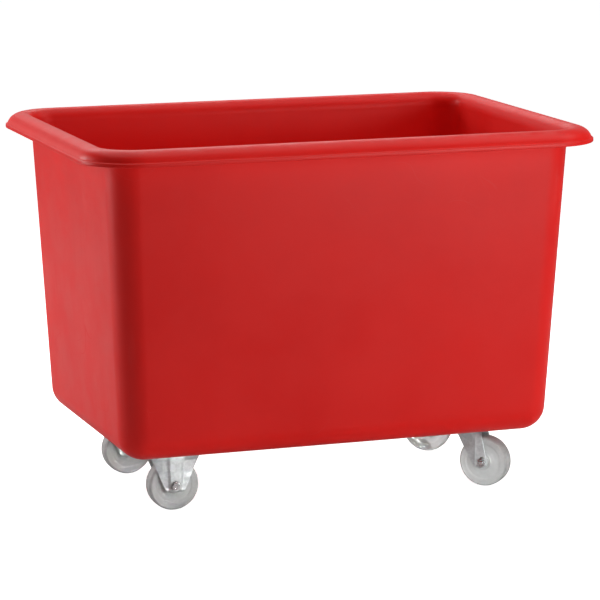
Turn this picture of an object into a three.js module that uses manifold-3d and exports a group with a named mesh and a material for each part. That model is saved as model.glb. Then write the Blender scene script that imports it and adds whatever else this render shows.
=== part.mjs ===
// Container truck: a tapered moulded tub with a rolled rim, on two fixed and two swivel castors.
// Millimetres, +Z up. The origin is on the floor, under the middle of the tub.
// +X points along the tub towards the swivel castors. "right" is the -Y side and "left" is the +Y side.
import * as THREE from "three";
import { mergeVertices } from "three/addons/utils/BufferGeometryUtils.js";
import Module from "manifold-3d";

const wasm = await Module();
wasm.setup();

// ---------- driving dimensions ----------
// Tub
const TUB_BASE_Z = 123; // underside of the tub
const LIP_Z = 695; // lower edge of the rim
const TOP_HALF_X = 463.4; // body half length at the height of the lip
const TOP_HALF_Y = 311.3; // body half width at the height of the lip
const TAPER = 30.8; // the body draws in by this much on every side, from lip to base
const TOP_CORNER_R = 56.8; // plan radius of the body's corners at the lip
const BASE_CORNER_R = 50; // and at the base
const BASE_FILLET_R = 45; // round between walls and base
const WALL = 5; // wall thickness
const FLOOR = 5; // floor thickness
const RIM_OUT = 51.2; // the lip stands this far out from the body
const RIM_UP = 28.6; // crest of the rim above the lower edge of the lip
const CORNER_STEPS = 6;
// Castors
const WHEEL_R = 50;
const WHEEL_HALF_W = 16;
const HUB_HALF_W = 18;
const HUB_BORE_R = 7.9;
const FIXED_X = -304.5;
const SWIVEL_X = 307.5;
const CASTOR_Y = 154.8;
const TRAIL = 39.5; // wheel centre behind the kingpin
const SWIVEL_DEG = { right: -41.9, left: -31.3 }; // the way each swivel castor stands
const PLATE_X = 105;
const PLATE_Y = 85;
const PLATE_T = 3;
const PLATE_TOP_Z = 122.7;
const HOLE_X = 80; // bolt hole spacing along X
const HOLE_Y = 60; // and along Y
const HOLE_R = 4.7;
const DRAIN_R = 8; // drain hole in the middle of the floor
const LEG_IN = 19; // inner faces of a fork's legs
const LEG_T = 2.5;
const RIB_OUT = 2.5; // the pressed rib stands proud of the leg
const AXLE_R = 5;
const AXLE_HOLE_R = 5.5;
const TUBE_R = 7.5;
const HEX_AF = 16; // across the flats of the axle bolt's head and nut
const KINGPIN_R = 6;
const GAP = 0.3; // clearance between neighbouring pieces

// ---------- materials ----------
const red = () => new THREE.MeshStandardMaterial({ color: 0xc8201f, roughness: 0.55, metalness: 0 });
const grey = () => new THREE.MeshStandardMaterial({ color: 0xb4b5b5, roughness: 0.5, metalness: 0 });
const zinc = () => new THREE.MeshStandardMaterial({ color: 0xb9bbbc, roughness: 0.38, metalness: 0.9 });
const bright = () => new THREE.MeshStandardMaterial({ color: 0xcfd1d2, roughness: 0.25, metalness: 1 });

// ---------- helpers ----------
const V2 = (x, y) => new THREE.Vector2(x, y);

function solid(geometry) {
  const g = geometry.clone();
  g.deleteAttribute("normal");
  g.deleteAttribute("uv");
  const m = mergeVertices(g, 1e-4);
  const idx = m.index.array;
  const tri = [];
  for (let i = 0; i < idx.length; i += 3)
    if (idx[i] !== idx[i + 1] && idx[i + 1] !== idx[i + 2] && idx[i] !== idx[i + 2])
      tri.push(idx[i], idx[i + 1], idx[i + 2]);
  return new wasm.Manifold(
    new wasm.Mesh({
      numProp: 3,
      vertProperties: new Float32Array(m.attributes.position.array),
      triVerts: new Uint32Array(tri),
    }),
  );
}

function geometryOf(man) {
  const m = man.getMesh();
  const g = new THREE.BufferGeometry();
  g.setAttribute("position", new THREE.BufferAttribute(new Float32Array(m.vertProperties), 3));
  g.setIndex(new THREE.BufferAttribute(new Uint32Array(m.triVerts), 1));
  g.computeVertexNormals();
  return g;
}

function mesh(name, geometry, material) {
  const m = new THREE.Mesh(geometry, material);
  m.name = name;
  return m;
}

// A closed ring or solid of revolution about Z from (radius, height) pairs.
function turned(points, segments) {
  const g = new THREE.LatheGeometry(points.map(([r, h]) => V2(r, h)), segments);
  g.rotateX(Math.PI / 2);
  return g;
}

// The same about Y.
function turnedY(points, segments) {
  return new THREE.LatheGeometry(points.map(([r, h]) => V2(r, h)), segments);
}

// An outline extruded up from z0 to z1.
function slab(shape, z0, z1) {
  const g = new THREE.ExtrudeGeometry(shape, { depth: z1 - z0, bevelEnabled: false, curveSegments: 4 });
  g.translate(0, 0, z0);
  return g;
}

// An outline drawn in X and Z, extruded from y0 to y1.
function panel(shape, y0, y1) {
  const g = new THREE.ExtrudeGeometry(shape, { depth: y1 - y0, bevelEnabled: false, curveSegments: 4 });
  g.rotateX(Math.PI / 2);
  g.translate(0, y1, 0);
  return g;
}

function polygon(points) {
  return new THREE.Shape(points.map(([x, y]) => V2(x, y)));
}

function roundedRect(hx, hy, r) {
  const s = new THREE.Shape();
  s.moveTo(hx - r, -hy);
  s.absarc(hx - r, -hy + r, r, -Math.PI / 2, 0, false);
  s.absarc(hx - r, hy - r, r, 0, Math.PI / 2, false);
  s.absarc(-hx + r, hy - r, r, Math.PI / 2, Math.PI, false);
  s.absarc(-hx + r, -hy + r, r, Math.PI, 1.5 * Math.PI, false);
  return s;
}

function circlePath(x, y, r, segments = 16) {
  const p = new THREE.Path();
  for (let i = 0; i <= segments; i++) {
    const a = (-2 * Math.PI * i) / segments;
    if (i === 0) p.moveTo(x + r * Math.cos(a), y + r * Math.sin(a));
    else p.lineTo(x + r * Math.cos(a), y + r * Math.sin(a));
  }
  return p;
}

function hexShape(acrossFlats) {
  const r = acrossFlats / Math.sqrt(3);
  return polygon([0, 1, 2, 3, 4, 5].map((i) => [r * Math.cos((i * Math.PI) / 3), r * Math.sin((i * Math.PI) / 3)]));
}

const HOLES = [
  [HOLE_X / 2, HOLE_Y / 2],
  [-HOLE_X / 2, HOLE_Y / 2],
  [-HOLE_X / 2, -HOLE_Y / 2],
  [HOLE_X / 2, -HOLE_Y / 2],
];
const CASTORS = [
  { name: "fixed_right", x: FIXED_X, y: -CASTOR_Y, fixed: true },
  { name: "fixed_left", x: FIXED_X, y: CASTOR_Y, fixed: true },
  { name: "swivel_right", x: SWIVEL_X, y: -CASTOR_Y, fixed: false, deg: SWIVEL_DEG.right },
  { name: "swivel_left", x: SWIVEL_X, y: CASTOR_Y, fixed: false, deg: SWIVEL_DEG.left },
];

// ---------- tub ----------
// A section through the wall, turned into a closed lathe and then laid out on a rounded rectangle.
// Each point is [half length, half width, corner radius, height].
function tubProfile() {
  const body = (z, inset) => {
    const t = (LIP_Z - z) / (LIP_Z - TUB_BASE_Z);
    const r = TOP_CORNER_R + (BASE_CORNER_R - TOP_CORNER_R) * t;
    return [TOP_HALF_X - TAPER * t - inset, TOP_HALF_Y - TAPER * t - inset, Math.max(r - inset, 3), z];
  };
  const rim = (out, up) => [TOP_HALF_X + out, TOP_HALF_Y + out, TOP_CORNER_R + out, LIP_Z + up];
  // the flat field between the castors, inside a ring clear of their plates
  const field = (z) => [235, 100, 20, z];
  const p = [[0, 0, 0, TUB_BASE_Z], field(TUB_BASE_Z)];
  // round between base and outer wall
  const steps = 6;
  for (let i = 0; i <= steps; i++) {
    const a = ((Math.PI / 2) * i) / steps;
    const z = TUB_BASE_Z + BASE_FILLET_R * (1 - Math.cos(a));
    p.push(body(z, BASE_FILLET_R * (1 - Math.sin(a))));
  }
  p.push(body(LIP_Z - 12, 0));
  // hollow under the rim
  for (const [o, u] of [[0.3, 5], [1.6, 12], [5.2, 18.2], [11, 22.3], [17.4, 23.6], [25.5, 22.4], [33, 18.6], [39, 12.6], [42.6, 6.4], [46.2, 4.6], [46.2, 0]])
    p.push(rim(o, u));
  // lip, bead and outer roll up to the crest
  for (const [o, u] of [[RIM_OUT, 0], [RIM_OUT, 6.2], [49.6, 7.4], [47.3, 8.2], [45.2, 13.2], [40.8, 19], [34.2, 24], [26, 27.3], [17.4, RIM_UP]])
    p.push(rim(o, u));
  // inner roll down to the inner wall
  for (const [o, u] of [[9.4, 27], [2.6, 22.3], [-2.4, 15], [-4.7, 6]]) p.push(rim(o, u));
  p.push(body(LIP_Z - 12, WALL));
  // round between inner wall and floor
  const r = BASE_FILLET_R - FLOOR;
  for (let i = steps; i >= 0; i--) {
    const a = ((Math.PI / 2) * i) / steps;
    const z = TUB_BASE_Z + FLOOR + r * (1 - Math.cos(a));
    p.push(body(z, WALL + r * (1 - Math.sin(a))));
  }
  p.push(field(TUB_BASE_Z + FLOOR));
  p.push([0, 0, 0, TUB_BASE_Z + FLOOR]);
  return p;
}

function tubGeometry() {
  const profile = tubProfile();
  const n = profile.length;
  const per = CORNER_STEPS + 1;
  const segments = 4 * per;
  const g = turned(profile.map(([a, , , z]) => [a, z]), segments);
  const pos = g.attributes.position;
  for (let i = 0; i <= segments; i++) {
    const k = i % segments;
    const corner = Math.floor(k / per);
    const t = -Math.PI / 2 + corner * (Math.PI / 2) + ((Math.PI / 2) * (k % per)) / CORNER_STEPS;
    const sx = corner === 0 || corner === 1 ? 1 : -1;
    const sy = corner === 1 || corner === 2 ? 1 : -1;
    for (let j = 0; j < n; j++) {
      const [a, b, r, z] = profile[j];
      pos.setXYZ(i * n + j, sx * (a - r) + r * Math.cos(t), sy * (b - r) + r * Math.sin(t), z);
    }
  }
  return g;
}

function boltPositions() {
  const out = [];
  for (const c of CASTORS) HOLES.forEach(([dx, dy], i) => out.push({ castor: c, n: i + 1, x: c.x + dx, y: c.y + dy }));
  return out;
}

function tub() {
  let body = solid(tubGeometry());
  for (const { x, y } of boltPositions()) {
    const drill = new THREE.CylinderGeometry(HOLE_R, HOLE_R, 30, 10);
    drill.rotateX(Math.PI / 2);
    drill.translate(x, y, TUB_BASE_Z);
    body = body.subtract(solid(drill));
  }
  const drain = new THREE.CylinderGeometry(DRAIN_R, DRAIN_R, 30, 16);
  drain.rotateX(Math.PI / 2);
  drain.translate(0, 0, TUB_BASE_Z);
  body = body.subtract(solid(drain));
  return mesh("tub", geometryOf(body), red());
}

// ---------- castor pieces ----------
function plateShape(centreHole) {
  const s = roundedRect(PLATE_X / 2, PLATE_Y / 2, 8);
  for (const [x, y] of HOLES) s.holes.push(circlePath(x, y, HOLE_R, 10));
  if (centreHole) s.holes.push(circlePath(0, 0, centreHole, 16));
  return s;
}

// Axle hole, open upwards as a short slot.
function axleSlot(x) {
  const g = new THREE.CylinderGeometry(AXLE_HOLE_R, AXLE_HOLE_R, 80, 14);
  const up = new THREE.CylinderGeometry(AXLE_HOLE_R, AXLE_HOLE_R, 80, 14);
  const mid = new THREE.BoxGeometry(2 * AXLE_HOLE_R * 0.9999, 80, 5);
  g.translate(x, 0, WHEEL_R);
  up.translate(x, 0, WHEEL_R + 5);
  mid.translate(x, 0, WHEEL_R + 2.5);
  return solid(g).add(solid(up)).add(solid(mid));
}

// Fixed bracket: top plate and two legs that taper down to the axle, with a pressed rib down the middle.
function fixedBracket() {
  let b = solid(slab(plateShape(0), PLATE_TOP_Z - PLATE_T, PLATE_TOP_Z));
  const top = PLATE_TOP_Z - 1;
  const outline = polygon([
    [-17, 38], [17, 38], [19.5, 41.5], [34, 76], [43.5, 96], [48, 107], [51, top], [-51, top], [-48, 107], [-43.5, 96], [-34, 76], [-19.5, 41.5],
  ]);
  const rib = polygon([[-12, 39.5], [12, 39.5], [12.5, 44], [15, 104], [-15, 104], [-12.5, 44]]);
  for (const s of [-1, 1]) {
    const y0 = s < 0 ? -LEG_IN - LEG_T : LEG_IN;
    b = b.add(solid(panel(outline, y0, y0 + LEG_T)));
    const r0 = s < 0 ? -LEG_IN - LEG_T - RIB_OUT : LEG_IN + LEG_T - 0.5;
    b = b.add(solid(panel(rib, r0, r0 + RIB_OUT + 0.5)));
  }
  return b.subtract(axleSlot(0));
}

// Swivel fork in its own frame: kingpin on the Z axis, wheel centre at +X by the trail.
function swivelFork() {
  const crownTop = 111.3;
  const crown = new THREE.Shape();
  crown.moveTo(36.5, -21.5);
  crown.lineTo(36.5, 21.5);
  crown.lineTo(24.9, 21.5);
  crown.absarc(0, 0, 32.9, Math.atan2(21.5, 24.9), 2 * Math.PI - Math.atan2(21.5, 24.9), false);
  crown.lineTo(36.5, -21.5);
  crown.holes.push(circlePath(0, 0, KINGPIN_R + 0.6, 16));
  let f = solid(slab(crown, crownTop - 3, crownTop));
  const t = TRAIL;
  const outline = polygon([
    [-14, crownTop - 0.5], [-13, 106], [-8.5, 98], [t - 40, 81], [t - 17, 47], [t - 11, 40.5], [t - 4, 38], [t + 3, 38.6], [t + 8.5, 42.5], [t + 11, 49],
    [t + 9.5, 56], [t + 7, 66], [t - 1.5, 108], [t - 2.5, crownTop - 0.5],
  ]);
  for (const s of [-1, 1]) {
    const y0 = s < 0 ? -LEG_IN - LEG_T : LEG_IN;
    f = f.add(solid(panel(outline, y0, y0 + LEG_T)));
  }
  return f.subtract(axleSlot(t));
}

// Ball race with its dust cover, fixed under the top plate.
function bearingRing() {
  return turned([
    [14, 111.9], [30, 111.9], [31.5, 113], [31.5, 116], [27.5, 119.4], [14, 119.4], [14, 111.9],
  ], 24);
}

function kingpin() {
  return turned([
    [0, 103.2], [6.5, 103.2], [9.2, 104.6], [9.8, 108], [KINGPIN_R, 108], [KINGPIN_R, 122.4], [0, 122.4],
  ], 16);
}

// Wheel with its axis along Y: hub, dished web, bead and rounded tread.
function wheelGeometry() {
  const side = [
    [HUB_BORE_R, HUB_HALF_W], [13.5, HUB_HALF_W], [15.5, 13.2], [33.5, 12.4], [36, 14.6], [45.4, WHEEL_HALF_W], [48.4, 13.6], [WHEEL_R, 9.5],
  ];
  // up the outside from -Y to +Y, then back through the bore
  const p = [
    ...side.map(([r, y]) => [r, -y]),
    ...side.slice().reverse(),
    [HUB_BORE_R, -HUB_HALF_W],
  ];
  return turnedY(p, 28);
}

function axleTube() {
  const h = LEG_IN - GAP;
  return turnedY([[AXLE_HOLE_R, -h], [TUBE_R, -h], [TUBE_R, h], [AXLE_HOLE_R, h], [AXLE_HOLE_R, -h]], 16);
}

// Axle bolt along Y. Its head sits at headSide; out is the outer face that the head and the nut rest on.
function axleBolt(headSide, out) {
  const head = panel(hexShape(HEX_AF), out + GAP, out + GAP + 6);
  const shank = new THREE.CylinderGeometry(AXLE_R, AXLE_R, 2 * out + 10.5 + GAP, 16);
  shank.translate(0, -(2 * out + 10.5 + GAP) / 2 + out + GAP + 0.5, 0);
  const b = geometryOf(solid(head).add(solid(shank)));
  if (headSide < 0) b.rotateZ(Math.PI);
  return b;
}

function axleNut(nutSide, out) {
  const s = hexShape(HEX_AF);
  s.holes.push(circlePath(0, 0, AXLE_R + 0.35, 16));
  const g = panel(s, out + GAP, out + GAP + 7);
  if (nutSide < 0) g.rotateZ(Math.PI);
  return g;
}

// Domed castor bolt: head on the tub's floor, shank down through floor and plate.
function castorBolt() {
  const z = TUB_BASE_Z + FLOOR + GAP;
  return turned([
    [0, 109.4], [4, 109.4], [4, z], [10, z], [9.2, z + 2.2], [6, z + 4.2], [0, z + 5],
  ], 10);
}

function castorNut() {
  const s = hexShape(13);
  s.holes.push(circlePath(0, 0, 4.35, 12));
  return slab(s, PLATE_TOP_Z - PLATE_T - GAP - 6.5, PLATE_TOP_Z - PLATE_T - GAP);
}

// ---------- assembly ----------
const truck = new THREE.Group();
truck.add(tub());

for (const c of CASTORS) {
  const castor = new THREE.Group();
  castor.position.set(c.x, c.y, 0);
  const axle = new THREE.Group();
  const outer = c.fixed ? LEG_IN + LEG_T + RIB_OUT : LEG_IN + LEG_T;
  const headSide = c.fixed ? -1 : 1;
  axle.add(mesh("wheel_" + c.name, wheelGeometry(), grey()));
  axle.add(mesh("axle_tube_" + c.name, axleTube(), bright()));
  axle.add(mesh("axle_bolt_" + c.name, axleBolt(headSide, outer), bright()));
  axle.add(mesh("axle_nut_" + c.name, axleNut(-headSide, outer), bright()));
  if (c.fixed) {
    axle.position.set(0, 0, WHEEL_R);
    castor.add(mesh("bracket_" + c.name, geometryOf(fixedBracket()), zinc()));
    castor.add(axle);
  } else {
    castor.add(mesh("top_plate_" + c.name, slab(plateShape(KINGPIN_R + 0.4), PLATE_TOP_Z - PLATE_T, PLATE_TOP_Z), zinc()));
    castor.add(mesh("bearing_" + c.name, bearingRing(), zinc()));
    castor.add(mesh("kingpin_" + c.name, kingpin(), bright()));
    const turning = new THREE.Group();
    turning.rotation.z = THREE.MathUtils.degToRad(c.deg);
    turning.add(mesh("fork_" + c.name, geometryOf(swivelFork()), zinc()));
    axle.position.set(TRAIL, 0, WHEEL_R);
    turning.add(axle);
    castor.add(turning);
  }
  truck.add(castor);
}

for (const { castor, n, x, y } of boltPositions()) {
  const bolt = mesh("castor_bolt_" + castor.name + "_" + n, castorBolt(), bright());
  const nut = mesh("castor_nut_" + castor.name + "_" + n, castorNut(), bright());
  bolt.position.set(x, y, 0);
  nut.position.set(x, y, 0);
  truck.add(bolt, nut);
}

export default truck;
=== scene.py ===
"""Container truck: the looks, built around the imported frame. Metres in Blender; the tables below are in millimetres."""
import math

import bmesh
import bpy
import numpy as np
from mathutils import Matrix, Vector


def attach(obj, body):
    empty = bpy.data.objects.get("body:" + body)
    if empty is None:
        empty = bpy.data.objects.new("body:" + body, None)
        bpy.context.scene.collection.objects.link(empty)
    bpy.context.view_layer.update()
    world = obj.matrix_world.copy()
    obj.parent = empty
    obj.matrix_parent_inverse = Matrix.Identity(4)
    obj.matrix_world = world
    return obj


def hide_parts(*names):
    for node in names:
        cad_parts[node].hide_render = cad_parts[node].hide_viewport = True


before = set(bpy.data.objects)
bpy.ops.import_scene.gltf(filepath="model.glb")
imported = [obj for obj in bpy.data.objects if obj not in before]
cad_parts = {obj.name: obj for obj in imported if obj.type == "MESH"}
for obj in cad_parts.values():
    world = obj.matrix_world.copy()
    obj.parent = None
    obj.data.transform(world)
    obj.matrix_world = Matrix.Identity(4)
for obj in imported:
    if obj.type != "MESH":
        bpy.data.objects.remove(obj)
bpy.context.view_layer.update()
MM = 0.001

# ------------------------------------------------------------------ dimensions (mm), as in the CAD part
BASE_Z, LIP_Z = 123.0, 695.0
TOP_HX, TOP_HY, TAPER = 463.4, 311.3, 30.8
TOP_R, BASE_R, FILLET = 56.8, 50.0, 45.0
WALL, FLOOR_T = 5.0, 5.0
RIM_OUT, RIM_UP = 51.2, 28.585
FIXED_X, SWIVEL_X, CASTOR_Y, TRAIL = -304.5, 307.5, 154.8, 39.5
WHEEL_R, WHEEL_HW, HUB_HW, BORE_R = 50.0, 16.0, 18.0, 7.9
PLATE_TOP, PLATE_T = 122.7, 3.0
HOLES = [(40, 30), (-40, 30), (-40, -30), (40, -30)]
LEG_IN, LEG_T = 19.0, 2.5
CASTORS = [
    ("fixed_right", FIXED_X, -CASTOR_Y, None),
    ("fixed_left", FIXED_X, CASTOR_Y, None),
    ("swivel_right", SWIVEL_X, -CASTOR_Y, -41.9),
    ("swivel_left", SWIVEL_X, CASTOR_Y, -31.3),
]


# ------------------------------------------------------------------ materials
class Nodes:
    """Small helper to write a node tree top down."""

    def __init__(self, name):
        self.mat = bpy.data.materials.new(name)
        self.mat.use_nodes = True
        self.t = self.mat.node_tree
        self.t.nodes.clear()
        self.out = self.t.nodes.new("ShaderNodeOutputMaterial")
        self.bsdf = self.t.nodes.new("ShaderNodeBsdfPrincipled")
        self.t.links.new(self.bsdf.outputs[0], self.out.inputs["Surface"])
        self.obj = self.t.nodes.new("ShaderNodeTexCoord").outputs["Object"]

    def link(self, a, b):
        self.t.links.new(a, b)

    def set(self, key, value):
        s = self.bsdf.inputs[key]
        if isinstance(value, (int, float, tuple)):
            s.default_value = value
        else:
            self.link(value, s)

    def _in(self, socket, v):
        if isinstance(v, (int, float)):
            socket.default_value = v
        elif isinstance(v, tuple):
            socket.default_value = v
        else:
            self.link(v, socket)

    def math(self, op, a, b=0.0, c=None, clamp=False):
        n = self.t.nodes.new("ShaderNodeMath")
        n.operation = op
        n.use_clamp = clamp
        self._in(n.inputs[0], a)
        self._in(n.inputs[1], b)
        if c is not None:
            self._in(n.inputs[2], c)
        return n.outputs[0]

    def mapping(self, scale=(1, 1, 1), loc=(0, 0, 0), vec=None, rot=(0, 0, 0)):
        n = self.t.nodes.new("ShaderNodeMapping")
        n.inputs["Scale"].default_value = scale
        n.inputs["Location"].default_value = loc
        n.inputs["Rotation"].default_value = rot
        self.link(vec or self.obj, n.inputs["Vector"])
        return n.outputs[0]

    def noise(self, scale, detail=3.0, rough=0.5, vec=None, distort=0.0):
        n = self.t.nodes.new("ShaderNodeTexNoise")
        n.inputs["Scale"].default_value = scale
        n.inputs["Detail"].default_value = detail
        n.inputs["Roughness"].default_value = rough
        n.inputs["Distortion"].default_value = distort
        self.link(vec or self.obj, n.inputs["Vector"])
        return n.outputs["Fac"]

    def voronoi(self, scale, vec=None, feature="F1", out="Distance"):
        n = self.t.nodes.new("ShaderNodeTexVoronoi")
        n.feature = feature
        n.inputs["Scale"].default_value = scale
        self.link(vec or self.obj, n.inputs["Vector"])
        return n.outputs[out]

    def ramp(self, v, lo, hi, a=0.0, b=1.0):
        n = self.t.nodes.new("ShaderNodeMapRange")
        n.interpolation_type = "SMOOTHSTEP"
        self.link(v, n.inputs["Value"])
        n.inputs["From Min"].default_value = lo
        n.inputs["From Max"].default_value = hi
        n.inputs["To Min"].default_value = a
        n.inputs["To Max"].default_value = b
        return n.outputs["Result"]

    def mix(self, f, a, b):
        n = self.t.nodes.new("ShaderNodeMix")
        n.data_type = "RGBA"
        self._in(n.inputs[0], f)
        self._in(n.inputs[6], a)
        self._in(n.inputs[7], b)
        return n.outputs[2]

    def xyz(self):
        n = self.t.nodes.new("ShaderNodeSeparateXYZ")
        self.link(self.obj, n.inputs[0])
        return n.outputs[0], n.outputs[1], n.outputs[2]

    def bump(self, height, strength, distance, normal=None):
        n = self.t.nodes.new("ShaderNodeBump")
        n.inputs["Strength"].default_value = strength
        n.inputs["Distance"].default_value = distance
        self.link(height, n.inputs["Height"])
        if normal is not None:
            self.link(normal, n.inputs["Normal"])
        return n.outputs[0]


FLOOR_SEEN, FLOOR_GLOW = 0.95, 0.04


def lin(r, g, b):
    f = lambda c: ((c / 255 + 0.055) / 1.055) ** 2.4 if c > 10 else c / 255 / 12.92
    return (f(r), f(g), f(b), 1.0)


def mat_tub():
    m = Nodes("tub_polyethylene")
    x, y, z = m.xyz()
    # broad tone changes of the moulding, then cloudier ones, then grain
    broad = m.noise(3.2, 2.0, 0.45)
    cloud = m.noise(11.0, 4.0, 0.55)
    grain = m.noise(420.0, 3.0, 0.6)
    base = m.mix(m.ramp(broad, 0.32, 0.68), (0.825, 0.0145, 0.0115, 1), (0.880, 0.0178, 0.0140, 1))
    base = m.mix(m.ramp(cloud, 0.35, 0.72, 0.0, 0.30), base, (0.900, 0.0225, 0.0175, 1))
    # rubbed streaks down the two ends, paled towards pink-white: real wear, and also painted sheen on the ends
    ends = m.ramp(m.math("ABSOLUTE", x), 0.405, 0.452)
    below_rim = m.ramp(z, 0.700, 0.640)
    streak_v = m.mapping(scale=(38.0, 38.0, 2.2))
    streak = m.noise(1.0, 5.0, 0.62, streak_v, 0.25)
    streak = m.ramp(streak, 0.50, 0.74)
    patches = m.ramp(m.noise(5.0, 3.0, 0.5), 0.40, 0.66)
    rub_and_sheen = m.math("MULTIPLY", m.math("MULTIPLY", streak, patches), m.math("MULTIPLY", ends, below_rim))
    # fine scratches: thin contour lines of a smooth noise, kept only in patches
    s1 = m.noise(4.2, 1.0, 0.4, m.mapping(scale=(1.0, 1.0, 1.35), rot=(0.2, 0.5, 0.1)), 0.3)
    line1 = m.ramp(m.math("ABSOLUTE", m.math("SUBTRACT", s1, 0.5)), 0.0022, 0.0)
    s2 = m.noise(7.0, 0.5, 0.3, m.mapping(scale=(1.0, 1.0, 0.7), loc=(3.1, 0.4, 1.7)), 0.2)
    line2 = m.ramp(m.math("ABSOLUTE", m.math("SUBTRACT", s2, 0.47)), 0.0020, 0.0)
    keep = m.ramp(m.noise(6.5, 2.0, 0.5, m.mapping(loc=(1.3, 5.1, 0.2))), 0.56, 0.64)
    scratch = m.math("MULTIPLY", m.math("MAXIMUM", line1, line2), keep)
    # painted highlight: the rim's crest made paler pink, in noisy patches
    crest_highlight = m.ramp(z, 0.714, 0.7235)
    crest_highlight = m.math("MULTIPLY", crest_highlight, m.ramp(m.noise(26.0, 4.0, 0.6), 0.42, 0.70))
    # painted sheen and real wear: the rubbed streaks pale the ends towards pink-white
    base = m.mix(m.math("MULTIPLY", rub_and_sheen, 0.34), base, lin(236, 118, 112))
    base = m.mix(m.math("MULTIPLY", scratch, 0.12), base, lin(232, 96, 90))
    # painted highlight along the rim's crest
    base = m.mix(m.math("MULTIPLY", crest_highlight, 0.16), base, lin(240, 130, 124))
    m.set("Base Color", base)
    rough = m.ramp(cloud, 0.3, 0.75, 0.33, 0.43)
    rough = m.math("ADD", rough, m.math("MULTIPLY", rub_and_sheen, 0.20))
    rough = m.math("ADD", rough, m.math("MULTIPLY", scratch, 0.12))
    m.set("Roughness", rough)
    m.set("IOR", 1.5)
    m.set("Specular IOR Level", 0.19)
    m.set("Subsurface Weight", 0.10)
    m.set("Subsurface Radius", (0.010, 0.0025, 0.0020))
    m.set("Subsurface Scale", 0.6)
    h = m.math("ADD", m.math("MULTIPLY", grain, 0.5), m.math("MULTIPLY", m.noise(95.0, 3.0, 0.5), 0.7))
    n1 = m.bump(h, 0.12, 0.0004)
    n2 = m.bump(m.noise(8.0, 2.0, 0.4), 0.20, 0.0040, n1)
    n3 = m.bump(scratch, 0.12, 0.0002, n2)
    # the rim has a fine pebbled skin
    pebble = m.math("MULTIPLY", m.voronoi(430.0, None, "SMOOTH_F1"), m.ramp(z, 0.700, 0.708))
    n3 = m.bump(pebble, 0.30, 0.0005, n3)
    m.set("Normal", n3)
    return m.mat


def mat_wheel():
    m = Nodes("wheel_nylon")
    x, y, z = m.xyz()
    r = m.math("SQRT", m.math("ADD", m.math("MULTIPLY", x, x), m.math("MULTIPLY", z, z)))
    cloud = m.noise(46.0, 4.0, 0.55)
    base = m.mix(m.ramp(cloud, 0.30, 0.72), lin(184, 189, 188), lin(196, 201, 200))
    tread = m.ramp(r, 0.0462, 0.0492)
    dirt = m.math("MULTIPLY", tread, m.ramp(m.noise(150.0, 5.0, 0.65), 0.38, 0.70, 0.25, 0.75))
    base = m.mix(dirt, base, lin(150, 151, 150))
    specks = m.math("MULTIPLY", m.ramp(m.voronoi(420.0), 0.16, 0.05), m.ramp(m.noise(60.0), 0.52, 0.66))
    base = m.mix(m.math("MULTIPLY", specks, 0.35), base, lin(120, 119, 117))
    hub = m.ramp(r, 0.0185, 0.0150)
    base = m.mix(m.math("MULTIPLY", hub, 0.18), base, lin(140, 140, 140))
    m.set("Base Color", base)
    rough = m.ramp(cloud, 0.3, 0.7, 0.34, 0.46)
    m.set("Roughness", m.math("ADD", rough, m.math("MULTIPLY", dirt, 0.22)))
    m.set("IOR", 1.53)
    m.set("Subsurface Weight", 0.08)
    m.set("Subsurface Radius", (0.004, 0.004, 0.0038))
    m.set("Subsurface Scale", 0.5)
    # faint turned rings on the faces and a fine grain
    rings = m.math("SINE", m.math("MULTIPLY", r, 5200.0))
    n1 = m.bump(m.noise(520.0, 3.0, 0.6), 0.10, 0.00025)
    n2 = m.bump(rings, 0.06, 0.00006, n1)
    m.set("Normal", n2)
    return m.mat


def mat_zinc(name, dark, light, rough_lo, rough_hi, metal):
    m = Nodes(name)
    spangle = m.voronoi(210.0, m.mapping(scale=(1, 1, 1.2)), "F1", "Color")
    sp = m.t.nodes.new("ShaderNodeSeparateColor")
    m.link(spangle, sp.inputs[0])
    cloud = m.noise(60.0, 5.0, 0.6)
    tone = m.math("ADD", m.math("MULTIPLY", cloud, 0.75), m.math("MULTIPLY", sp.outputs[0], 0.25))
    base = m.mix(m.ramp(tone, 0.32, 0.70), dark, light)
    stain = m.math("MULTIPLY", m.ramp(m.noise(34.0, 5.0, 0.65, m.mapping(loc=(0.3, 2.0, 1.0))), 0.58, 0.74), 0.35)
    base = m.mix(stain, base, lin(172, 172, 169))
    m.set("Base Color", base)
    m.set("Metallic", metal)
    m.set("Roughness", m.math("ADD", m.ramp(tone, 0.3, 0.7, rough_lo, rough_hi), m.math("MULTIPLY", stain, 0.25)))
    brushed = m.noise(1.0, 3.0, 0.6, m.mapping(scale=(900.0, 900.0, 60.0)))
    n1 = m.bump(brushed, 0.06, 0.0001)
    n2 = m.bump(m.noise(70.0, 3.0, 0.5), 0.12, 0.0004, n1)
    m.set("Normal", n2)
    return m.mat


def mat_floor():
    """White translucent studio floor, lit a little from below. Camera rays see it brighter, so it reads as a plain white ground."""
    m = Nodes("studio_floor")
    m.set("Base Color", (0.92, 0.92, 0.92, 1))
    m.set("Roughness", 0.85)
    m.set("Specular IOR Level", 0.1)
    m.set("Emission Color", (1.0, 1.0, 1.0, 1.0))
    m.set("Emission Strength", FLOOR_SEEN)
    soft = m.t.nodes.new("ShaderNodeBsdfDiffuse")
    soft.inputs["Color"].default_value = (0.5, 0.5, 0.5, 1)
    glow = m.t.nodes.new("ShaderNodeEmission")
    glow.inputs["Strength"].default_value = FLOOR_GLOW
    both = m.t.nodes.new("ShaderNodeAddShader")
    m.link(soft.outputs[0], both.inputs[0])
    m.link(glow.outputs[0], both.inputs[1])
    path = m.t.nodes.new("ShaderNodeLightPath")
    mix = m.t.nodes.new("ShaderNodeMixShader")
    m.link(path.outputs["Is Camera Ray"], mix.inputs[0])
    m.link(both.outputs[0], mix.inputs[1])
    m.link(m.bsdf.outputs[0], mix.inputs[2])
    m.link(mix.outputs[0], m.out.inputs["Surface"])
    return m.mat


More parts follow.
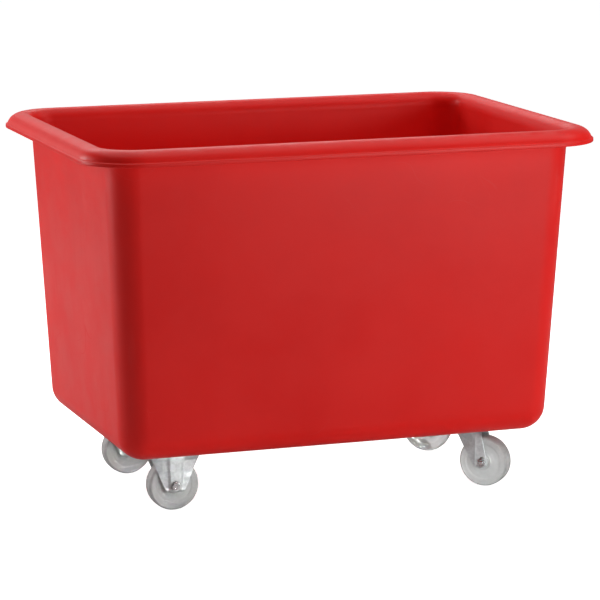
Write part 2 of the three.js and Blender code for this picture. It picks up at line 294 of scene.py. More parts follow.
TUB = mat_tub()
NYLON = mat_wheel()
ZINC = mat_zinc("zinc_plate", lin(190, 197, 198), lin(210, 216, 217), 0.34, 0.48, 0.70)
BRIGHT = mat_zinc("bright_steel", lin(205, 210, 211), lin(228, 233, 233), 0.20, 0.32, 0.94)


# ------------------------------------------------------------------ mesh helpers
def mesh_from(name, verts, faces):
    me = bpy.data.meshes.new(name)
    me.from_pydata((np.asarray(verts, float) * MM).tolist(), [], [tuple(int(i) for i in f) for f in faces])
    me.validate()
    ob = bpy.data.objects.new(name, me)
    bpy.context.scene.collection.objects.link(ob)
    return ob


def clean(ob, dist=0.002):
    bm = bmesh.new()
    bm.from_mesh(ob.data)
    bmesh.ops.remove_doubles(bm, verts=bm.verts, dist=dist * MM)
    bmesh.ops.dissolve_degenerate(bm, edges=bm.edges, dist=dist * MM * 0.5)
    bmesh.ops.holes_fill(bm, edges=[e for e in bm.edges if e.is_boundary], sides=8)
    bmesh.ops.recalc_face_normals(bm, faces=bm.faces)
    bm.to_mesh(ob.data)
    bm.free()
    ob.data.update()
    return ob


def smooth(ob, angle=32):
    ob.data.shade_smooth()
    ob.data.set_sharp_from_angle(angle=math.radians(angle))
    return ob


def evaluated(ob):
    """Applies every modifier."""
    dg = bpy.context.evaluated_depsgraph_get()
    dg.update()
    me = bpy.data.meshes.new_from_object(ob.evaluated_get(dg), depsgraph=dg)
    ob.modifiers.clear()
    old = ob.data
    ob.data = me
    bpy.data.meshes.remove(old)
    return ob


def boolean(ob, other, op):
    mod = ob.modifiers.new("b", "BOOLEAN")
    mod.object = other
    mod.operation = op
    mod.solver = "EXACT"
    bpy.context.view_layer.update()
    evaluated(ob)
    bpy.data.objects.remove(other)
    return ob


def bevel(ob, width, segments=2, angle=35):
    mod = ob.modifiers.new("v", "BEVEL")
    mod.width = width * MM
    mod.segments = segments
    mod.limit_method = "ANGLE"
    mod.angle_limit = math.radians(angle)
    mod.harden_normals = False
    bpy.context.view_layer.update()
    return evaluated(ob)


def rounded(points, steps=5):
    """Fillets a polyline. Each point is (a, b) or (a, b, radius)."""
    out = []
    n = len(points)
    for i, p in enumerate(points):
        r = p[2] if len(p) > 2 else 0.0
        v = np.array(p[:2], float)
        if r <= 0 or i in (0, n - 1):
            out.append(tuple(v))
            continue
        a = np.array(points[i - 1][:2], float) - v
        b = np.array(points[i + 1][:2], float) - v
        la, lb = np.linalg.norm(a), np.linalg.norm(b)
        a, b = a / la, b / lb
        ang = math.acos(max(-1, min(1, float(a @ b))))
        if ang > math.pi - 0.02:
            out.append(tuple(v))
            continue
        d = min(r / math.tan(ang / 2), la * 0.48, lb * 0.48)
        r = d * math.tan(ang / 2)
        bis = (a + b) / np.linalg.norm(a + b)
        c = v + bis * (r / math.sin(ang / 2))
        s, e = v + a * d - c, v + b * d - c
        sweep = math.pi - ang
        for k in range(steps + 1):
            t = k / steps
            w = (math.sin((1 - t) * sweep) * s + math.sin(t * sweep) * e) / math.sin(sweep)
            out.append(tuple(c + w))
    return out


def lathe(name, profile, n, axis="Z", close=False):
    """Solid of revolution. The profile is (radius, height): on the axis at both ends, or closed with close=True."""
    prof = [p for i, p in enumerate(profile) if i == 0 or np.hypot(p[0] - profile[i - 1][0], p[1] - profile[i - 1][1]) > 1e-4]
    verts, rows = [], []
    for r, h in prof:
        if r < 1e-6:
            rows.append([len(verts)] * n)
            verts.append((0.0, 0.0, h))
        else:
            rows.append(list(range(len(verts), len(verts) + n)))
            for k in range(n):
                t = 2 * math.pi * k / n
                verts.append((r * math.cos(t), r * math.sin(t), h))
    faces = []
    pairs = list(zip(rows, rows[1:])) + ([(rows[-1], rows[0])] if close else [])
    for a, b in pairs:
        for k in range(n):
            j = (k + 1) % n
            f = [a[k], a[j], b[j], b[k]]
            g = [v for i, v in enumerate(f) if v not in f[:i]]
            if len(g) > 2:
                faces.append(g)
    verts = np.array(verts)
    if axis == "Y":  # the profile's height runs along +Y
        verts = np.stack([verts[:, 0], verts[:, 2], -verts[:, 1]], 1)
    return clean(mesh_from(name, verts, faces))


def hexagon(name, af, z0, z1, hole=0.0, top_chamfer=True, bottom_chamfer=False, axis="Z", n=72, dome=0.0, flange=0.0):
    """Hexagon head or nut with turned chamfers, as a ring of fine columns."""
    cols = [2 * math.pi * k / n for k in range(n)]
    hexr = [af / 2 / math.cos(((t + math.pi / 6) % (math.pi / 3)) - math.pi / 6) for t in cols]
    rc = af / 2 * 0.955
    tan = math.tan(math.radians(28))
    rings = []

    def ring(fr, fz):
        rings.append([(fr(i) * math.cos(t), fr(i) * math.sin(t), fz(i)) for i, t in enumerate(cols)])

    inner = max(hole, 0.0)
    if bottom_chamfer:
        ring(lambda i: rc * 0.8 if not hole else max(hole * 1.14, hole + 0.4), lambda i: z0)
        ring(lambda i: rc, lambda i: z0)
        ring(lambda i: hexr[i], lambda i: z0 + (hexr[i] - rc) * tan)
    else:
        ring(lambda i: rc * 0.8 if not hole else hole + 0.4, lambda i: z0)
        ring(lambda i: hexr[i] - 0.12, lambda i: z0)
        ring(lambda i: hexr[i], lambda i: z0 + 0.12)
    for f in (0.35, 0.7):
        ring(lambda i: hexr[i], lambda i: z0 + (z1 - z0) * f)
    ring(lambda i: hexr[i], lambda i: z1 - (hexr[i] - rc) * tan - 0.05)
    for f in (0.5, 0.0):
        ring(lambda i: rc + (hexr[i] - rc) * f, lambda i: z1 - (hexr[i] - rc) * f * tan)
    if hole:
        ring(lambda i: hole + 0.8, lambda i: z1)
        ring(lambda i: hole, lambda i: z1 - 0.7)
        ring(lambda i: hole, lambda i: z0 + 0.4)
        close = True
    else:
        ring(lambda i: rc * 0.92, lambda i: z1 + dome * 0.25)
        ring(lambda i: rc * 0.5, lambda i: z1 + dome * 0.8)
        close = False
    verts = [p for r in rings for p in r]
    faces = []
    idx = list(range(len(rings)))
    pairs = list(zip(idx, idx[1:])) + ([(idx[-1], 0)] if close else [])
    for a, b in pairs:
        for k in range(n):
            j = (k + 1) % n
            faces.append((a * n + k, a * n + j, b * n + j, b * n + k))
    if not close:
        faces.append([k for k in range(n)][::-1])
        faces.append([(len(rings) - 1) * n + k for k in range(n)])
    verts = np.array(verts)
    if axis == "Y":
        verts = np.stack([verts[:, 0], verts[:, 2], -verts[:, 1]], 1)
    return clean(mesh_from(name, verts, faces), 0.0005)


def place(ob, x=0.0, y=0.0, z=0.0, deg=0.0):
    """Moves the mesh itself, so that the object stays at the origin."""
    ob.data.transform(Matrix.Translation((x * MM, y * MM, z * MM)) @ Matrix.Rotation(math.radians(deg), 4, "Z"))
    return ob


def done(ob, mat, slot, body, *nodes, angle=32):
    ob.data.materials.clear()
    ob.data.materials.append(mat)
    smooth(ob, angle)
    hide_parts(*nodes)
    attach(ob, body)
    return ob


def smoothstep(v):
    v = np.clip(v, 0, 1)
    return v * v * (3 - 2 * v)


def catmull(points, per=6):
    """A smooth line through the points."""
    p = [np.array(q, float) for q in points]
    p = [2 * p[0] - p[1]] + p + [2 * p[-1] - p[-2]]
    out = []
    for i in range(1, len(p) - 2):
        for k in range(per):
            t = k / per
            a, b, c, d = p[i - 1], p[i], p[i + 1], p[i + 2]
            out.append(tuple(0.5 * ((2 * b) + (c - a) * t + (2 * a - 5 * b + 4 * c - d) * t * t + (3 * b - a - 3 * c + d) * t ** 3)))
    out.append(tuple(p[-2]))
    return out


# ------------------------------------------------------------------ tub
CORNER_N, LONG_N, SHORT_N = 26, 52, 38


def ring_layout():
    """For each column of the ring: which corner it belongs to, the angle there, and how far along a straight side."""
    cols = []
    for c in range(4):
        a0 = -math.pi / 2 + c * math.pi / 2
        for k in range(CORNER_N):
            cols.append((c, a0 + (math.pi / 2) * k / CORNER_N, c, 0.0))
        n = SHORT_N if c in (0, 2) else LONG_N  # after corner 0 comes the +X end
        nxt = (c + 1) % 4
        for k in range(n):
            cols.append((c, a0 + math.pi / 2, nxt, k / n))
    return cols


RING = ring_layout()
RC = np.array([c[0] for c in RING])
RA = np.array([c[1] for c in RING])
RN = np.array([c[2] for c in RING])
RF = np.array([c[3] for c in RING])
SGX = np.array([1, 1, -1, -1])
SGY = np.array([-1, 1, 1, -1])


def ring_points(a, b, r, z):
    def at(corner, ang):
        return np.stack([SGX[corner] * (a - r) + r * np.cos(ang), SGY[corner] * (b - r) + r * np.sin(ang)], 1)

    p = at(RC, RA)
    q = at(RN, RA)  # the next corner's first point has the same angle
    xy = p * (1 - RF[:, None]) + q * RF[:, None]
    return np.concatenate([xy, np.full((len(xy), 1), z)], 1)


def body_row(z, inset):
    t = (LIP_Z - z) / (LIP_Z - BASE_Z)
    r = TOP_R + (BASE_R - TOP_R) * t
    return (TOP_HX - TAPER * t - inset, TOP_HY - TAPER * t - inset, max(r - inset, 3.0), z)


def rim_row(o, u):
    return (TOP_HX + o, TOP_HY + o, TOP_R + o, LIP_Z + u)


def tub_rows():
    rows = []
    steps = 16
    for i in range(steps + 1):
        a = math.pi / 2 * i / steps
        rows.append(body_row(BASE_Z + FILLET * (1 - math.cos(a)), FILLET * (1 - math.sin(a))))
    for z in np.linspace(BASE_Z + FILLET, LIP_Z - 10, 30)[1:]:
        rows.append(body_row(z, 0))
    under = [(0.0, -6), (0.3, 5), (1.6, 12), (5.2, 18.2), (11, 22.3), (17.4, 23.6), (25.5, 22.4), (33, 18.6), (39, 12.6), (42.6, 6.9)]
    rows += [rim_row(o, u) for o, u in catmull(under, 5)]
    lip = rounded([(42.6, 6.9), (44.2, 4.6, 1.6), (46.4, 4.2, 1.6), (46.6, 0.0, 1.1), (RIM_OUT, 0.0, 1.4), (RIM_OUT, 6.9, 1.5), (48.4, 8.0, 1.4), (47.2, 9.6)], 5)
    rows += [rim_row(o, u) for o, u in lip[1:]]
    roll = [(47.2, 9.6), (45.4, 13.8), (41.2, 19.4), (34.4, 24.4), (26.2, 27.6), (17.4, RIM_UP), (9.2, 27.0), (2.4, 22.2), (-2.3, 15), (-4.6, 6), (-5.1, -4)]
    rows += [rim_row(o, u) for o, u in catmull(roll, 6)[1:]]
    for z in np.linspace(LIP_Z - 10, BASE_Z + FILLET, 30):
        rows.append(body_row(z, WALL))
    r = FILLET - FLOOR_T
    for i in range(steps - 1, -1, -1):
        a = math.pi / 2 * i / steps
        rows.append(body_row(BASE_Z + FLOOR_T + r * (1 - math.cos(a)), WALL + r * (1 - math.sin(a))))
    return rows


def build_tub():
    rows = tub_rows()
    n = len(RING)
    verts = np.concatenate([ring_points(*row) for row in rows])
    # walls of a moulding are never quite flat: a slight belly, and long soft waves
    x, y, z = verts[:, 0].copy(), verts[:, 1].copy(), verts[:, 2].copy()
    h = np.clip((z - 168) / (680 - 168), 0, 1)
    mid = np.sin(np.pi * h)
    cx = smoothstep((np.abs(x) - 380) / 50)
    cy = smoothstep((np.abs(y) - 235) / 40)
    side = cy * (1 - smoothstep((np.abs(x) - 330) / 90))
    end = cx * (1 - smoothstep((np.abs(y) - 190) / 70))
    wave = 0.35 * np.sin(x * 0.0125 + 0.7) * np.sin(z * 0.0108 + 0.4) + 0.22 * np.sin(x * 0.031 + z * 0.011 + 1.9) + 0.16 * np.sin(z * 0.034 - x * 0.007)
    wave_e = 0.32 * np.sin(y * 0.0165 + 1.1) * np.sin(z * 0.0118 + 0.9) + 0.20 * np.sin(y * 0.034 + z * 0.013 + 0.3)
    belly = 1.6
    verts[:, 1] += np.sign(y) * side * mid * (belly * (1 - (x / 430) ** 2) + wave)
    verts[:, 0] += np.sign(x) * end * mid * (belly * 0.7 * (1 - (y / 280) ** 2) + wave_e)
    faces = []
    for i in range(len(rows) - 1):
        for k in range(n):
            j = (k + 1) % n
            faces.append((i * n + k, i * n + j, (i + 1) * n + j, (i + 1) * n + k))
    faces.append(list(range(n))[::-1])
    last = (len(rows) - 1) * n
    faces.append([last + k for k in range(n)])
    ob = clean(mesh_from("tub_shell", verts, faces))
    drills = []
    for _, cx_, cy_, _ in CASTORS:
        for dx, dy in HOLES:
            d = lathe("drill", [(0, BASE_Z - 8), (4.7, BASE_Z - 8), (4.7, BASE_Z + 13), (0, BASE_Z + 13)], 24)
            drills.append(place(d, cx_ + dx, cy_ + dy))
    drills.append(lathe("drain", [(0, BASE_Z - 8), (8.0, BASE_Z - 8), (8.0, BASE_Z + 13), (0, BASE_Z + 13)], 32))
    for d in drills:
        d.select_set(True)
    join(drills)
    boolean(ob, drills[0], "DIFFERENCE")
    clean(ob, 0.003)
    return done(ob, TUB, "tub_plastic", "truck", "tub", angle=40)


def join(obs):
    """Joins the meshes of several objects into the first."""
    bm = bmesh.new()
    for o in obs:
        bm.from_mesh(o.data)
    bm.to_mesh(obs[0].data)
    bm.free()
    for o in obs[1:]:
        bpy.data.objects.remove(o)
    return obs[0]


# ------------------------------------------------------------------ sheet metal
def sheet(name, centre, front, rear, thick, push=None, nu=18, edge=0.45):
    """A bent strip of sheet metal. centre is the line of its middle surface in (y, z); front(i) and rear(i) are the x limits
    at each point of it; push(x, y, z) moves the surface outwards. Its long edges are rounded."""
    c = np.array(centre, float)
    t = np.gradient(c, axis=0)
    t /= np.linalg.norm(t, axis=1)[:, None]
    nrm = np.stack([-t[:, 1], t[:, 0]], 1)  # to the left of the line in (y, z)
    us = np.linspace(-1, 1, nu + 1)
    us = np.sign(us) * (1 - (1 - np.abs(us)) ** 1.25)
    half = thick / 2
    grid = {}
    verts = []
    # one closed loop of points round the strip's section at each step along it
    loop = [(u, half) for u in us]
    loop = [(-1, half - edge)] + [(max(-1, min(1, u)), half) for u in us] + [(1, half - edge), (1, -half + edge)] + [(u, -half) for u in us[::-1]] + [(-1, -half + edge)]
    m = len(loop)
    for i in range(len(c)):
        f, r = front(i), rear(i)
        mid, hw = (f + r) / 2, (r - f) / 2
        for u, s in loop:
            inset = edge if abs(abs(s) - half) < 1e-9 else 0.0
            x = mid + np.sign(u) * max(abs(u) * hw - (inset if abs(u) > 0.999 else 0.0), 0.0)
            y, z = c[i]
            d = push(x, y, z, i) if push else 0.0
            verts.append((x, y + nrm[i, 0] * (s + d), z + nrm[i, 1] * (s + d)))
    faces = []
    for i in range(len(c) - 1):
        for k in range(m):
            j = (k + 1) % m
            faces.append((i * m + k, i * m + j, (i + 1) * m + j, (i + 1) * m + k))
    faces.append(list(range(m))[::-1])
    faces.append([(len(c) - 1) * m + k for k in range(m)])
    return clean(mesh_from(name, verts, faces), 0.001)


def arc(cy, cz, r, a0, a1, n):
    return [(cy + r * math.cos(a), cz + r * math.sin(a)) for a in np.linspace(a0, a1, n)]


def interp(table):
    xs = [p[0] for p in table]
    ys = [p[1] for p in table]
    return lambda v: float(np.interp(v, xs, ys))


def slot_cutter(x, y0, y1, r=5.5, up=5.0):
    pts = [(r * math.cos(a), r * math.sin(a)) for a in np.linspace(math.pi, 2 * math.pi, 17)]
    pts += [(r * math.cos(a), up + r * math.sin(a)) for a in np.linspace(0, math.pi, 17)]
    n = len(pts)
    verts = [(x + px, y, 50 + pz) for y in (y0, y1) for px, pz in pts]
    faces = [list(range(n)), [n + k for k in range(n)][::-1]] + [(k, n + k, n + (k + 1) % n, (k + 1) % n) for k in range(n)]
    return clean(mesh_from("slot", verts, faces), 0.0005)


def plate(name, centre_hole):
    """Castor plate with rounded corners and its holes."""
    hx, hy, r = 52.5, 42.5, 8.0
    outline = []
    for sx, sy, a0 in ((1, -1, -90), (1, 1, 0), (-1, 1, 90), (-1, -1, 180)):
        for k in range(11):
            a = math.radians(a0 + 9 * k)
            outline.append((sx * (hx - r) + r * math.cos(a), sy * (hy - r) + r * math.sin(a)))
    e = 0.5
    z0, z1 = PLATE_TOP - PLATE_T, PLATE_TOP
    n = len(outline)
    rings = []
    for inset, z in ((e, z0), (0.15, z0 + 0.15), (0, z0 + e), (0, z1 - e), (0.15, z1 - 0.15), (e, z1)):
        rings.append([(px - np.sign(px) * inset, py - np.sign(py) * inset, z) for px, py in outline])
    verts = [p for g in rings for p in g]
    faces = [list(range(n))[::-1], [(len(rings) - 1) * n + k for k in range(n)]]
    for i in range(len(rings) - 1):
        for k in range(n):
            j = (k + 1) % n
            faces.append((i * n + k, i * n + j, (i + 1) * n + j, (i + 1) * n + k))
    ob = clean(mesh_from(name, verts, faces), 0.001)
    cut = []
    for x, y in HOLES:
        cut.append(place(lathe("c", [(0, z0 - 3), (4.7, z0 - 3), (4.7, z1 + 3), (0, z1 + 3)], 28), x, y))
    if centre_hole:
        cut.append(lathe("c", [(0, z0 - 3), (centre_hole, z0 - 3), (centre_hole, z1 + 3), (0, z1 + 3)], 36))
    join(cut)
    return boolean(ob, cut[0], "DIFFERENCE")


def bracket(name):
    """Fixed bracket: plate with two legs flared out under it; each leg is creased along both sides of a raised middle."""
    ob = plate(name, 0)
    hw = interp([(38.0, 13.2), (38.5, 15.6), (39.5, 17.3), (41.5, 18.9), (45, 21.0), (60, 27.6), (76, 34.2), (88, 39.6), (98, 44.2), (106, 47.6), (112, 49.6), (122, 51.4)])
    for s in (-1, 1):
        zs = np.concatenate([[38.0, 38.25, 38.6, 39.1, 39.8, 40.7, 42.0], np.linspace(44, 109, 40)])
        line = [(-20.25, z) for z in zs] + arc(-30.5, 110.6, 10.25, 0.14, math.pi / 2, 10)
        line = [(s * -1 * y, z) for y, z in line] if s > 0 else line

        def push(x, y, z, i, s=s):
            w = hw(min(z, 112))
            a = abs(x)
            flat = 11.0 + 2.0 * smoothstep((z - 60) / 50)
            # the middle stands proud; outside each crease the leg folds back towards the wheel
            fold = np.clip((a - flat) / 3.6, 0, 1) * 1.7 + np.clip((a - flat - 3.6) / max(w - flat - 3.6, 4.0), 0, 1) * 1.5 * smoothstep((z - 66) / 10)
            d = 2.5 * smoothstep((z - 36.5) / 5.0) * (1 - smoothstep((z - 104) / 10)) - fold * smoothstep((z - 40) / 8.0) * (1 - smoothstep((z - 98) / 14))
            return -d if s > 0 else d

        leg = sheet("leg", line, lambda i: -hw(line[i][1]), lambda i: hw(line[i][1]), LEG_T, push, nu=34)
        boolean(leg, slot_cutter(0, -40 if s < 0 else 10, -10 if s < 0 else 40), "DIFFERENCE")
        boolean(ob, leg, "UNION")
    return clean(ob, 0.08)


def fork(name):
    """Swivel fork: one strip bent over the crown, with a round race dish on top."""
    t = TRAIL
    front = interp([(38.0, t - 6.0), (38.4, t - 8.6), (39.4, t - 11.4), (41.0, t - 13.8), (44.0, t - 16.6), (47.0, t - 18.6), (64, t - 29.4), (81, t - 40.0), (92, t - 46), (99, t - 49.6), (104, t - 52), (111, t - 53.6)])
    rear = interp([(38.0, t + 0.6), (38.4, t + 3.4), (39.4, t + 6.0), (41.4, t + 8.4), (44.5, t + 10.2), (49, t + 11.0), (54, t + 10.2), (60, t + 8.4), (70, t + 6.2), (108, t - 1.6), (111, t - 2.4)])
    zs = np.concatenate([[38.0, 38.2, 38.5, 39.0, 39.7, 40.6, 41.8, 43.2], np.linspace(45, 101, 36)])
    up = [(-20.25, z) for z in zs]
    line = up + arc(-12.25, 101.8, 8.0, math.pi, math.pi / 2, 10)
    line += [(y, 109.8) for y in np.linspace(-9, 9, 9)]
    line += [(-y, z) for y, z in (up + arc(-12.25, 101.8, 8.0, math.pi, math.pi / 2, 10))[::-1]]
    crown_front = interp([(0, -24.0), (9, -22.0), (16, -17.0), (20.3, t - 52.6)])
    crown_rear = interp([(0, 33.0), (12, 35.0), (20.3, t - 2.0)])

    def f(i):
        y, z = line[i]
        k = float(smoothstep((z - 100) / 9.8))
        return front(z) * (1 - k) + crown_front(abs(y)) * k

    def r(i):
        y, z = line[i]
        k = float(smoothstep((z - 100) / 9.8))
        return rear(z) * (1 - k) + crown_rear(abs(y)) * k

    crease = t - 14.0

    def push(x, y, z, i):
        # in front of a vertical crease the leg leans in towards the crown
        lean = np.clip((crease - x) / 34.0, 0, 1) * 3.4
        stand = 1.4
        k = smoothstep((z - 37.5) / 4.0) * (1 - smoothstep((z - 96) / 12))
        near = 1 - smoothstep((abs(x - crease) - 0.6) / 2.2)
        return (stand - lean + 0.25 * near) * k

    ob = sheet(name, line, f, r, LEG_T + 0.2, push, nu=40)
    dish = lathe("dish", rounded([(6.6, 111.3), (6.6, 108.1), (24.0, 108.1, 1.0), (29.0, 106.9, 1.5), (33.0, 107.2, 1.2), (33.0, 110.4, 1.0), (30.0, 111.3, 1.0), (12.0, 111.3, 0.5), (6.6, 111.3)], 4)[:-1], 72, close=True)
    boolean(ob, lathe("hole", [(0, 100), (7.6, 100), (7.6, 116), (0, 116)], 36), "DIFFERENCE")
    boolean(ob, dish, "UNION")
    boolean(ob, slot_cutter(t, -40, 40), "DIFFERENCE")
    return clean(ob, 0.003)


# ------------------------------------------------------------------ turned pieces
def wheel(name):
    side = [
        (BORE_R, HUB_HW, 0.6), (13.4, HUB_HW, 0.9), (14.6, 15.2, 1.6), (17.5, 14.3, 3.0), (25, 13.9, 10.0), (33.6, 14.0, 6.0), (37.0, 14.9, 4.0), (41.0, 15.2, 3.0),
        (43.6, 15.5, 2.0), (45.4, WHEEL_HW, 1.2), (46.6, 15.6, 1.5), (48.6, 13.4, 3.0), (49.7, 10.8, 4.0), (WHEEL_R, 7.5, 8.0),
    ]
    p = [(r, -y, k) for r, y, k in side] + [(r, y, k) for r, y, k in side[::-1]]
    prof = rounded([(BORE_R, 0.0)] + p + [(BORE_R, -0.0)], 4)
    # meant for a fine groove round the middle of the tread, where the mould halves meet; this loop only copies the
    # profile and cuts no groove
    out = []
    for r, y in prof[:-1]:
        out.append((r, y))
        if abs(y + 7.5) < 1.2 and r > 49.9 and not any(abs(q[1] + 0.35) < 1e-6 for q in out):
            pass
    return lathe(name, out, 96, "Y", close=True)


def axle_bolt(name, out_face, side):
    """Hexagon head at +Y, shank to -Y, with a chamfered end; side -1 turns it round."""
    head = hexagon(name, 16.0, out_face + 0.3, out_face + 6.3, axis="Y", dome=0.0)
    length = 2 * out_face + 10.5
    tip = out_face + 0.8 - length
    shank = lathe("s", rounded([(0, tip), (4.1, tip, 0.2), (5.0, tip + 1.0, 0.2), (5.0, out_face + 0.8), (0, out_face + 0.8)], 2), 40, "Y")
    boolean(head, shank, "UNION")
    if side < 0:
        place(head, deg=180)
    return head


def axle_nut(name, out_face, side):
    nut = hexagon(name, 16.0, out_face + 0.3, out_face + 7.3, hole=5.35, bottom_chamfer=True, axis="Y")
    if side < 0:
        place(nut, deg=180)
    return nut


def axle_tube(name):
    h = LEG_IN - 0.3
    return lathe(name, rounded([(5.5, 0), (5.5, -h, 0.3), (7.5, -h, 0.4), (7.5, h, 0.4), (5.5, h, 0.3), (5.5, 0)], 2)[:-1], 48, "Y", close=True)


def castor_bolt(name):
    z = BASE_Z + FLOOR_T + 0.3
    dome = [(0, z + 4.85), (3.0, z + 4.6), (5.8, z + 3.75), (8.2, z + 2.2), (9.7, z + 0.7)]
    prof = rounded([(0, 109.4), (3.4, 109.4, 0.2), (4.0, 110.2, 0.2), (4.0, z, 0.0), (9.6, z, 0.3), (9.8, z + 0.6, 0.2)], 3) + catmull(dome, 4)[::-1][1:]
    return lathe(name, prof, 48)


def castor_nut(name):
    return hexagon(name, 13.0, PLATE_TOP - PLATE_T - 6.8, PLATE_TOP - PLATE_T - 0.3, hole=4.35, bottom_chamfer=True)


def bearing(name):
    prof = rounded([(14.0, 115), (14.0, 111.9, 0.4), (29.6, 111.9, 0.8), (31.5, 113.2, 1.2), (31.5, 116.4, 1.8), (28.0, 119.4, 1.0), (14.0, 119.4, 0.4), (14.0, 115)], 4)[:-1]
    return lathe(name, prof, 72, close=True)


def kingpin(name):
    prof = rounded([(0, 103.2), (6.2, 103.2, 1.5), (9.0, 104.4, 1.5), (9.8, 107.2, 0.8), (9.6, 108.0, 0.3), (6.0, 108.0, 0.3), (6.0, 122.0, 0.2), (5.6, 122.4, 0.1), (0, 122.4)], 4)
    return lathe(name, prof, 48)


# ------------------------------------------------------------------ assembly
build_tub()

for cname, cx, cy, deg in CASTORS:
    fixed = deg is None
    side = cname.split("_")[1]
    carrier = "truck" if fixed else "fork_body_" + side
    ang = 0.0 if fixed else deg
    ax = cx + (0 if fixed else TRAIL * math.cos(math.radians(ang)))
    ay = cy + (0 if fixed else TRAIL * math.sin(math.radians(ang)))
    face = LEG_IN + LEG_T + 2.5 if fixed else LEG_IN + LEG_T + 0.0

    w = wheel("wheel_tyre_" + cname)
    w.location = (ax * MM, ay * MM, WHEEL_R * MM)
    w.rotation_euler = (0, 0, math.radians(ang))
    done(w, NYLON, "wheel_plastic", "roller_" + cname, "wheel_" + cname, angle=50)

    head = -1 if fixed else 1
    done(place(axle_tube("tube_" + cname), ax, ay, 50, ang), BRIGHT, "bright_steel", carrier, "axle_tube_" + cname)
    done(place(axle_bolt("bolt_" + cname, face, head), ax, ay, 50, ang), BRIGHT, "bright_steel", carrier, "axle_bolt_" + cname)
    done(place(axle_nut("nut_" + cname, face, -head), ax, ay, 50, ang), BRIGHT, "bright_steel", carrier, "axle_nut_" + cname)

    if fixed:
        done(place(bracket("leg_bracket_" + cname), cx, cy), ZINC, "zinc_plate", "truck", "bracket_" + cname)
    else:
        done(place(plate("plate_" + cname, 6.4), cx, cy), ZINC, "zinc_plate", "truck", "top_plate_" + cname)
        done(place(bearing("race_" + cname), cx, cy), ZINC, "zinc_plate", "truck", "bearing_" + cname)
        done(place(kingpin("pin_" + cname), cx, cy), BRIGHT, "bright_steel", "truck", "kingpin_" + cname)
        done(place(fork("fork_sheet_" + cname), cx, cy, 0, ang), ZINC, "zinc_plate", carrier, "fork_" + cname)

    for i, (dx, dy) in enumerate(HOLES, 1):
        done(place(castor_bolt(f"dome_bolt_{cname}_{i}"), cx + dx, cy + dy), BRIGHT, "bright_steel", "truck", f"castor_bolt_{cname}_{i}")
        done(place(castor_nut(f"hex_nut_{cname}_{i}"), cx + dx, cy + dy, 0, 0), BRIGHT, "bright_steel", "truck", f"castor_nut_{cname}_{i}")


# ------------------------------------------------------------------ studio
def floor_piece():
    n, half = 24, 14000.0
    g = np.linspace(-half, half, n + 1)
    verts = [(x, y, -0.2) for y in g for x in g]
    faces = [(j * (n + 1) + i, j * (n + 1) + i + 1, (j + 1) * (n + 1) + i + 1, (j + 1) * (n + 1) + i) for j in range(n) for i in range(n)]
    ob = mesh_from("floor", verts, faces)
    ob.data.materials.append(mat_floor())
    return ob


floor_piece()

world = bpy.data.worlds.new("studio")
bpy.context.scene.world = world
world.use_nodes = True
wt = world.node_tree
wt.nodes.clear()
wo = wt.nodes.new("ShaderNodeOutputWorld")
bg = wt.nodes.new("ShaderNodeBackground")
bg.inputs["Color"].default_value = (1, 1, 1, 1)
# light from the sky only on the far side, strongest level with the truck; the camera sees plain white
tc = wt.nodes.new("ShaderNodeTexCoord")
sep = wt.nodes.new("ShaderNodeSeparateXYZ")
wt.links.new(tc.outputs["Generated"], sep.inputs[0])
far = wt.nodes.new("ShaderNodeMath")
far.operation = "MAXIMUM"
far.inputs[1].default_value = 0.0
wt.links.new(sep.outputs[1], far.inputs[0])
sq = wt.nodes.new("ShaderNodeMath")
sq.operation = "MULTIPLY"
wt.links.new(far.outputs[0], sq.inputs[0])
wt.links.new(far.outputs[0], sq.inputs[1])
lit = wt.nodes.new("ShaderNodeMath")
lit.operation = "MULTIPLY_ADD"
lit.inputs[1].default_value = 0.46
lit.inputs[2].default_value = 0.0
wt.links.new(sq.outputs[0], lit.inputs[0])
path = wt.nodes.new("ShaderNodeLightPath")
pick = wt.nodes.new("ShaderNodeMix")
pick.data_type = "FLOAT"
pick.inputs[3].default_value = 1.0
wt.links.new(path.outputs["Is Camera Ray"], pick.inputs[0])
wt.links.new(lit.outputs[0], pick.inputs[2])
wt.links.new(pick.outputs[0], bg.inputs["Strength"])
wt.links.new(bg.outputs[0], wo.inputs[0])


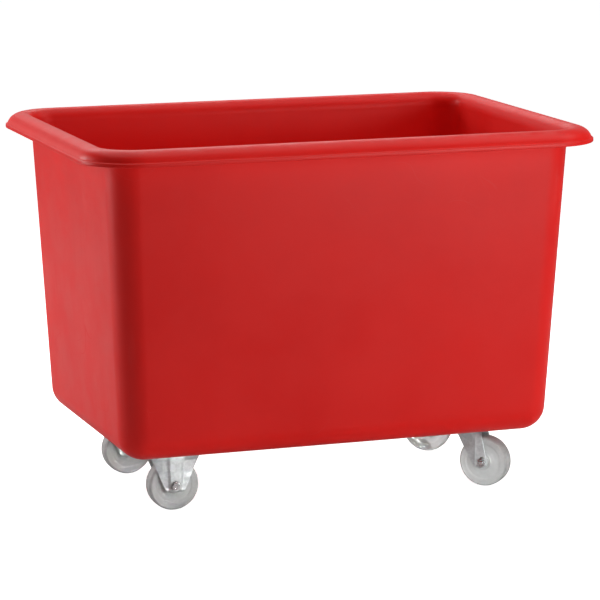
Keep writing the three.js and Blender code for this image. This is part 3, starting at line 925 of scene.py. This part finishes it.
def area(name, at, look, size, power, spread=180.0):
    d = bpy.data.lights.new(name, "AREA")
    d.shape = "RECTANGLE"
    d.size, d.size_y = size
    d.energy = power
    d.spread = math.radians(spread)
    o = bpy.data.objects.new(name, d)
    bpy.context.scene.collection.objects.link(o)
    o.location = at
    o.rotation_euler = (Vector(look) - Vector(at)).to_track_quat("-Z", "Y").to_euler()
    return o


area("left_back", (-3.2, 2.6, 1.6), (-0.4, 0.0, 0.4), (1.8, 1.8), 60)
area("left_mid", (-2.8, 0.9, 0.6), (-0.4, 0.0, 0.4), (1.2, 0.8), 20)
area("front_right", (2.3, -2.3, 0.95), (0.35, -0.2, 0.45), (1.5, 1.3), 17)
area("front", (1.6, -3.2, 0.66), (0.2, -0.3, 0.4), (1.2, 1.0), 37)
area("top", (0.1, 0.3, 3.2), (0, 0, 0.5), (3.4, 2.4), 38)
area("top_right", (2.0, -0.8, 2.8), (0.3, 0.1, 0.6), (1.8, 1.2), 20)
area("top_back", (0.3, 2.6, 2.6), (0, 0, 0.5), (2.5, 1.4), 24)
# two low strips for the castors only
area("strip_a", (0.66, -1.9, 0.085), (-0.30, -0.12, 0.03), (0.5, 0.06), 0.085, 9.0)
area("strip_b", (-0.45, -1.75, 0.085), (0.36, -0.16, 0.03), (0.5, 0.06), 0.155, 9.0)

# ------------------------------------------------------------------ camera
AZ, EL, DIST, FPX = math.radians(-19.57), math.radians(10.67), 6.038, 3068.78
target = Vector((-0.00517, -0.04649, 0.37042))
back = Vector((math.sin(AZ) * math.cos(EL), -math.cos(AZ) * math.cos(EL), math.sin(EL)))
cam_data = bpy.data.cameras.new("camera")
cam = bpy.data.objects.new("camera", cam_data)
bpy.context.scene.collection.objects.link(cam)
cam_data.sensor_width = 36.0
cam_data.lens = 36.0 * FPX / 600.0
cam_data.clip_end = 100.0
cam.location = target + back * DIST
cam.rotation_euler = back.to_track_quat("Z", "Y").to_euler()
bpy.context.scene.camera = cam
bpy.context.scene.view_settings.view_transform = "Standard"
